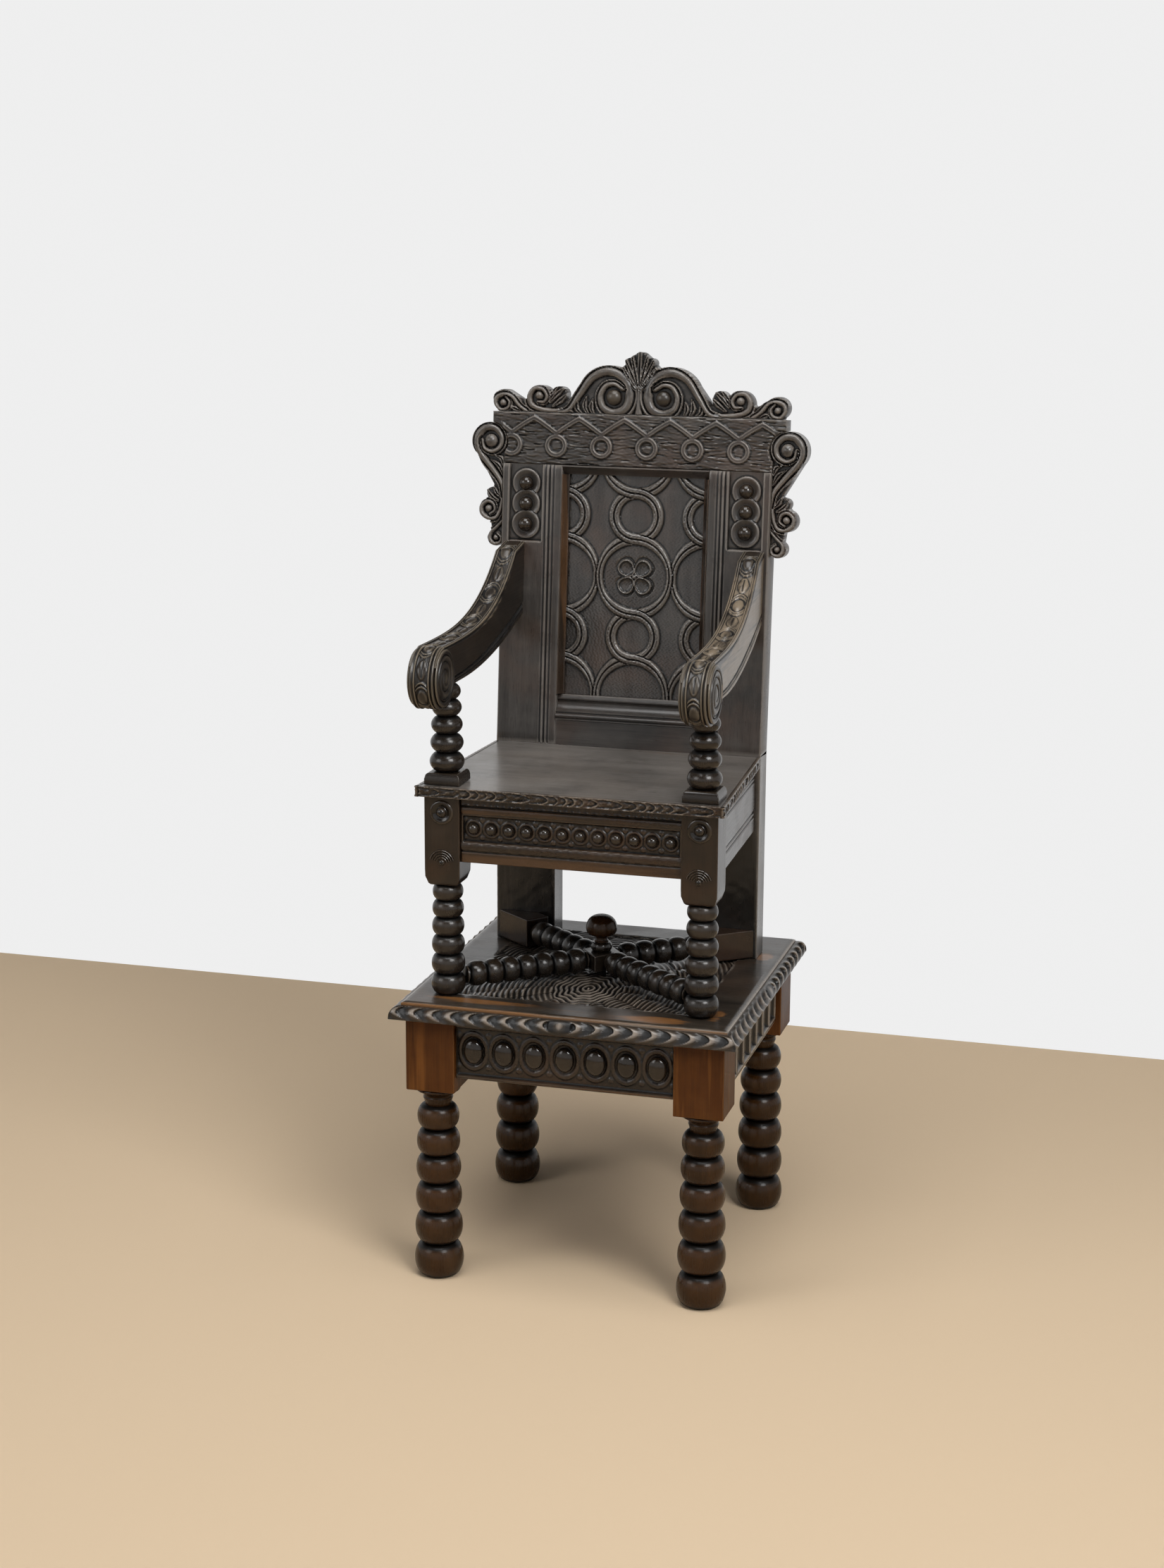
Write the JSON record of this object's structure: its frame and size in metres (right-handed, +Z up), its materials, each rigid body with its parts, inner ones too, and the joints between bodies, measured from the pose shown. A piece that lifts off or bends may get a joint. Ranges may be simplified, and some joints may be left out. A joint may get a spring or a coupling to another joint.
{
  "type": "child's high chair",
  "caption": "Carved dark oak child's high chair: a panel-back armchair with turned supports, held by a hand screw on a low bobbin-legged stand.",
  "frame": {"origin": "on the floor, under the middle of the whole object", "axes": "+Z up, -Y towards the front, +X to the right of someone facing the chair"},
  "size_m": [0.4222, 0.4323, 1.0904],
  "materials": {
    "dark_oak": "near-black waxed oak",
    "red_oak": "red-brown stained oak, satin",
    "worn_oak": "worn greyish brown oak",
    "polished_oak": "dark polished carved oak"
  },
  "bodies": {
    "stand": {"stand_top": "worn_oak", "edge_front": "dark_oak", "edge_right": "dark_oak", "edge_back": "dark_oak", "edge_left": "dark_oak", "apron_front": "dark_oak", "apron_right": "dark_oak", "apron_back": "dark_oak", "apron_left": "dark_oak", "leg_front_left": "red_oak", "leg_front_right": "red_oak", "leg_back_left": "red_oak", "leg_back_right": "red_oak"},
    "chair": {"seat": "worn_oak", "seat_rail_front": "red_oak", "seat_rail_back": "dark_oak", "seat_rail_left": "dark_oak", "seat_rail_right": "dark_oak", "front_leg_left": "red_oak", "front_leg_right": "red_oak", "rear_post_left": "dark_oak", "rear_post_right": "dark_oak", "boss_strip_left": "dark_oak", "boss_strip_right": "dark_oak", "back_bottom_rail": "dark_oak", "back_panel": "dark_oak", "panel_sill": "dark_oak", "panel_moulding_top": "dark_oak", "panel_moulding_left": "dark_oak", "panel_moulding_right": "dark_oak", "back_top_rail": "dark_oak", "crest": "polished_oak", "ear_left": "polished_oak", "ear_right": "polished_oak", "arm_left": "polished_oak", "arm_right": "polished_oak", "arm_support_left": "polished_oak", "arm_support_right": "polished_oak", "stretcher_front_left": "polished_oak", "stretcher_front_right": "polished_oak", "stretcher_rear_left": "polished_oak", "stretcher_rear_right": "polished_oak", "stretcher_hub": "polished_oak"},
    "collar": {"screw_collar": "polished_oak"},
    "knob": {"screw_knob": "polished_oak"}
  },
  "joints": [
    {"name": "chair_lift", "type": "slide", "parent": "stand", "child": "chair", "axis": [0, 0, 1], "range_m": [0, 0.15]},
    {"name": "screw_travel", "type": "slide", "parent": "chair", "child": "collar", "axis": [0, 0, 1], "range_m": [0, 0.018]},
    {"name": "screw_turn", "type": "hinge", "parent": "collar", "child": "knob", "pos_m": [0, -0.01215, 0.4], "axis": [0, 0, 1], "range_deg": [0, 2160]}
  ],
  "couplings": [
    {"joint": "screw_travel", "follows": "screw_turn", "m_per_rad": 0.000477}
  ]
}
